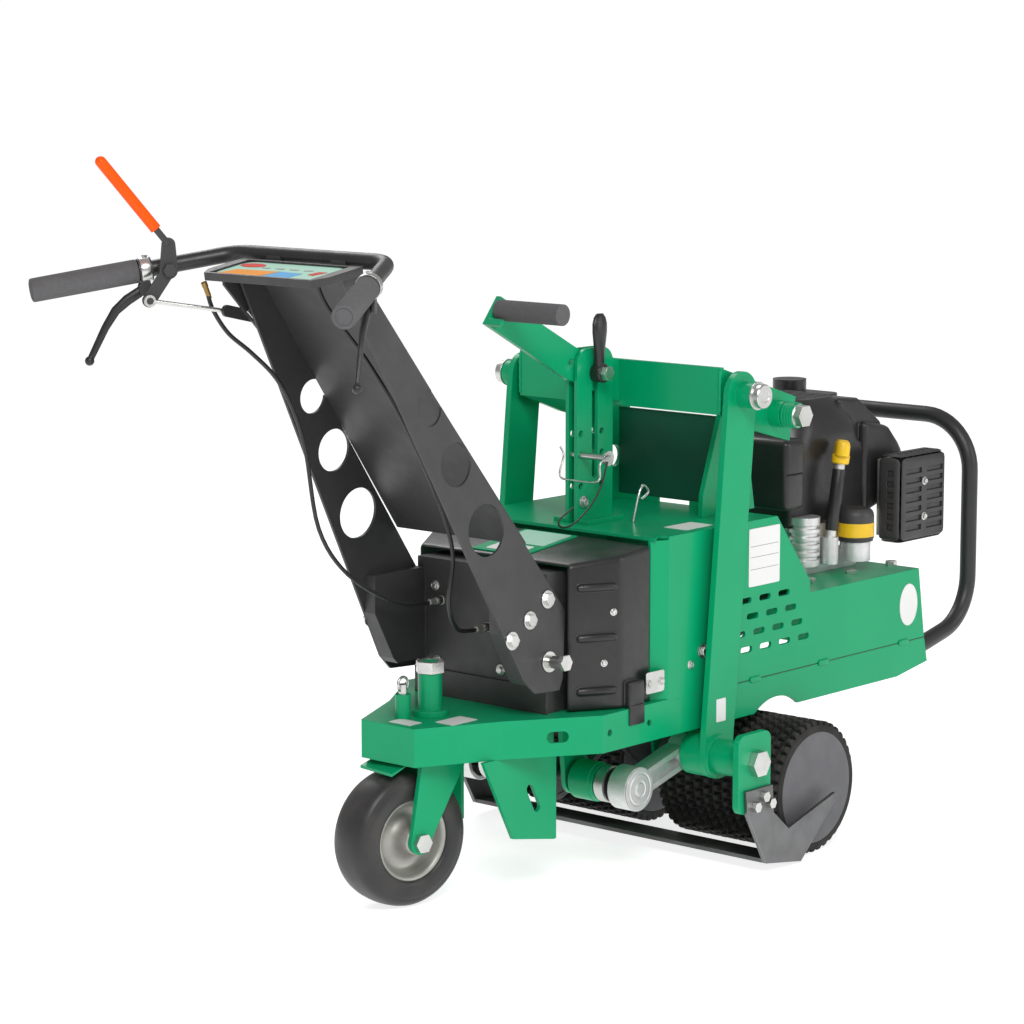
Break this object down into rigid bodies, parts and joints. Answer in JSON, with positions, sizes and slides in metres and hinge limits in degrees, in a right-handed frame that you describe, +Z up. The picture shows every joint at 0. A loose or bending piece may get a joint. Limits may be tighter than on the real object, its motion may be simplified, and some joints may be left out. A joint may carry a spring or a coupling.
{
  "type": "sod cutter",
  "caption": "Walk-behind sod cutter: knobby drive drum, oscillating U-shaped under-cutting blade on hanging arms, swivel caster, engine deck and folded handle column.",
  "frame": {"origin": "on the ground under the middle of the machine", "axes": "+X towards the engine and bumper, +Y to the operator's left, +Z up"},
  "size_m": [1.578, 0.6024, 1.0445],
  "materials": {
    "green_paint": "gloss powder coat",
    "black_paint": "satin powder coat",
    "black_plastic": "moulded, fine grain",
    "steel": "bare, worn",
    "zinc": "bright zinc",
    "foam": "foam grip",
    "orange": "dipped sleeve",
    "cable": "smooth",
    "bronze": "machined",
    "cast_aluminium": "as cast",
    "tread": "moulded",
    "cast_iron": "painted",
    "yellow": "gloss"
  },
  "bodies": {
    "chassis": {"platform": "green_paint", "swivel_mounts": "green_paint", "chassis_rails": "green_paint", "side_panels": "green_paint", "body_top": "green_paint", "engine_deck": "green_paint", "uprights": "green_paint", "pivot_shaft": "zinc", "drive_frame": "green_paint", "front_bumper": "black_paint", "rear_box": "black_paint", "belt_cover": "black_plastic", "hood_plate": "green_paint", "handle_plates": "black_paint", "handle_web": "black_paint", "fasteners": "zinc", "control_tray": "black_paint", "handlebar": "black_paint", "grips": "foam", "bar_fittings": "black_paint", "control_cables": "cable", "depth_guide": "green_paint", "gearbox": "cast_iron", "drive_chains": "steel", "drive_belt": "cable", "crankcase": "cast_aluminium", "engine_shroud": "black_plastic", "air_cleaner": "black_plastic", "muffler": "black_plastic", "oil_filter": "black_plastic", "fuel_tank": "black_plastic"},
    "caster_swivel": {"caster_fork": "green_paint", "caster_hardware": "zinc"},
    "caster_wheel": {"caster_rim": "zinc", "caster_tyre": "tread"},
    "caster_lock": {"lock_pin": "zinc"},
    "drum": {"drum_core": "steel", "drum_treads": "tread"},
    "lift_frame": {"yoke": "green_paint", "depth_lever": "green_paint", "depth_grip": "foam"},
    "depth_clamp": {"clamp_bolt": "zinc"},
    "clamp_cam": {"clamp_handle": "black_plastic"},
    "detent": {"depth_pin": "zinc"},
    "bushes": {"hanger_bushes": "bronze"},
    "blade_carriage": {"blade_arms": "green_paint", "blade": "steel", "blade_bolts": "zinc"},
    "rods": {"connecting_rods": "cast_aluminium"},
    "eccentric": {"eccentric_shaft": "steel"},
    "output_shaft": {"gear_shaft": "steel"},
    "input_drive": {"input_pulley": "steel"},
    "engine_drive": {"engine_pulley": "steel"},
    "left_lever": {"brake_lever_left": "black_plastic"},
    "right_lever": {"brake_lever_right": "black_plastic"},
    "engage_lever": {"speed_lever": "black_paint", "lever_sleeve": "orange"},
    "engage_link": {"link_rod": "zinc"},
    "filler_cap": {"fuel_cap": "black_plastic"},
    "oil_stick": {"dipstick": "yellow"}
  },
  "joints": [
    {"name": "caster_turn", "type": "hinge", "parent": "chassis", "child": "caster_swivel", "pos_m": [-0.3175, 0, 0], "axis": [0, 0, 1], "range_deg": [-50.5, 69.5]},
    {"name": "caster_roll", "type": "hinge", "parent": "caster_swivel", "child": "caster_wheel", "pos_m": [-0.37175, 0.00908, 0.0965], "axis": [0.165, 0.9863, 0], "continuous": true},
    {"name": "lock_lift", "type": "slide", "parent": "chassis", "child": "caster_lock", "axis": [0, 0, 1], "range_m": [0, 0.012], "stiffness_N_per_m": 300, "springref_m": -0.01},
    {"name": "drum_roll", "type": "hinge", "parent": "chassis", "child": "drum", "pos_m": [0.2375, 0, 0.099], "axis": [0, 1, 0], "continuous": true},
    {"name": "depth_tilt", "type": "hinge", "parent": "chassis", "child": "lift_frame", "pos_m": [0.2205, 0, 0.651], "axis": [0, 1, 0], "range_deg": [-24.5, 0]},
    {"name": "clamp_travel", "type": "slide", "parent": "chassis", "child": "depth_clamp", "axis": [0, 0, 1], "range_m": [-0.0824, 0]},
    {"name": "clamp_swing", "type": "hinge", "parent": "depth_clamp", "child": "clamp_cam", "pos_m": [0.0255, 0, 0.714], "axis": [0, 1, 0], "range_deg": [-95, 0]},
    {"name": "pin_pull", "type": "slide", "parent": "chassis", "child": "detent", "axis": [0, -1, 0], "range_m": [0, 0.06]},
    {"name": "bush_turn", "type": "hinge", "parent": "lift_frame", "child": "bushes", "pos_m": [0.1175, 0, 0.689], "axis": [0, 1, 0], "range_deg": [0, 23.43]},
    {"name": "blade_swing", "type": "hinge", "parent": "bushes", "child": "blade_carriage", "pos_m": [0.1175, 0, 0.689], "axis": [0, 1, 0], "range_deg": [-0.45, 0.45]},
    {"name": "rod_swing", "type": "hinge", "parent": "blade_carriage", "child": "rods", "pos_m": [0.068, 0, 0.168], "axis": [0, 1, 0], "range_deg": [0, 21.47]},
    {"name": "eccentric_spin", "type": "hinge", "parent": "chassis", "child": "eccentric", "pos_m": [-0.058, 0, 0.134], "axis": [0, 1, 0], "continuous": true},
    {"name": "output_spin", "type": "hinge", "parent": "chassis", "child": "output_shaft", "pos_m": [0.085, 0, 0.205], "axis": [0, 1, 0], "continuous": true},
    {"name": "input_spin", "type": "hinge", "parent": "chassis", "child": "input_drive", "pos_m": [0.085, 0.044, 0], "axis": [0, 0, 1], "continuous": true},
    {"name": "engine_spin", "type": "hinge", "parent": "chassis", "child": "engine_drive", "pos_m": [0.5, 0, 0], "axis": [0, 0, 1], "continuous": true},
    {"name": "left_lever_pull", "type": "hinge", "parent": "chassis", "child": "left_lever", "pos_m": [-0.65115, 0.20643, 0.86568], "axis": [0.5326, 0.8464, 0], "range_deg": [0, 22], "stiffness_Nm_per_rad": 1.5, "springref_deg": -17.19},
    {"name": "right_lever_pull", "type": "hinge", "parent": "chassis", "child": "right_lever", "pos_m": [-0.65115, -0.20643, 0.86568], "axis": [-0.5326, 0.8464, 0], "range_deg": [0, 22], "stiffness_Nm_per_rad": 1.5, "springref_deg": -17.19},
    {"name": "engage_swing", "type": "hinge", "parent": "chassis", "child": "engage_lever", "pos_m": [-0.646, 0.165, 0.893], "axis": [0.5326, 0.8464, 0], "range_deg": [0, 20]},
    {"name": "link_swing", "type": "hinge", "parent": "engage_lever", "child": "engage_link", "pos_m": [-0.67199, 0.17439, 0.853], "axis": [0.5326, 0.8464, 0], "range_deg": [-20, 0]},
    {"name": "filler_turn", "type": "hinge", "parent": "chassis", "child": "filler_cap", "pos_m": [0.638, 0.092, 0], "axis": [0, 0, 1], "range_deg": [0, 90]},
    {"name": "stick_turn", "type": "hinge", "parent": "chassis", "child": "oil_stick", "pos_m": [0.49, -0.117, 0.552], "axis": [0.1454, -0.0363, 0.9887], "range_deg": [0, 90]}
  ],
  "couplings": [
    {"joint": "clamp_travel", "follows": "depth_tilt", "m_per_rad": 0.1925},
    {"joint": "bush_turn", "follows": "depth_tilt", "ratio": -0.956},
    {"joint": "rod_swing", "follows": "depth_tilt", "ratio": -0.876},
    {"joint": "output_spin", "follows": "drum_roll", "ratio": 2.0268},
    {"joint": "eccentric_spin", "follows": "drum_roll", "ratio": 1.4934},
    {"joint": "engine_spin", "follows": "input_spin", "ratio": 1.5592},
    {"joint": "link_swing", "follows": "engage_swing", "ratio": -1}
  ]
}
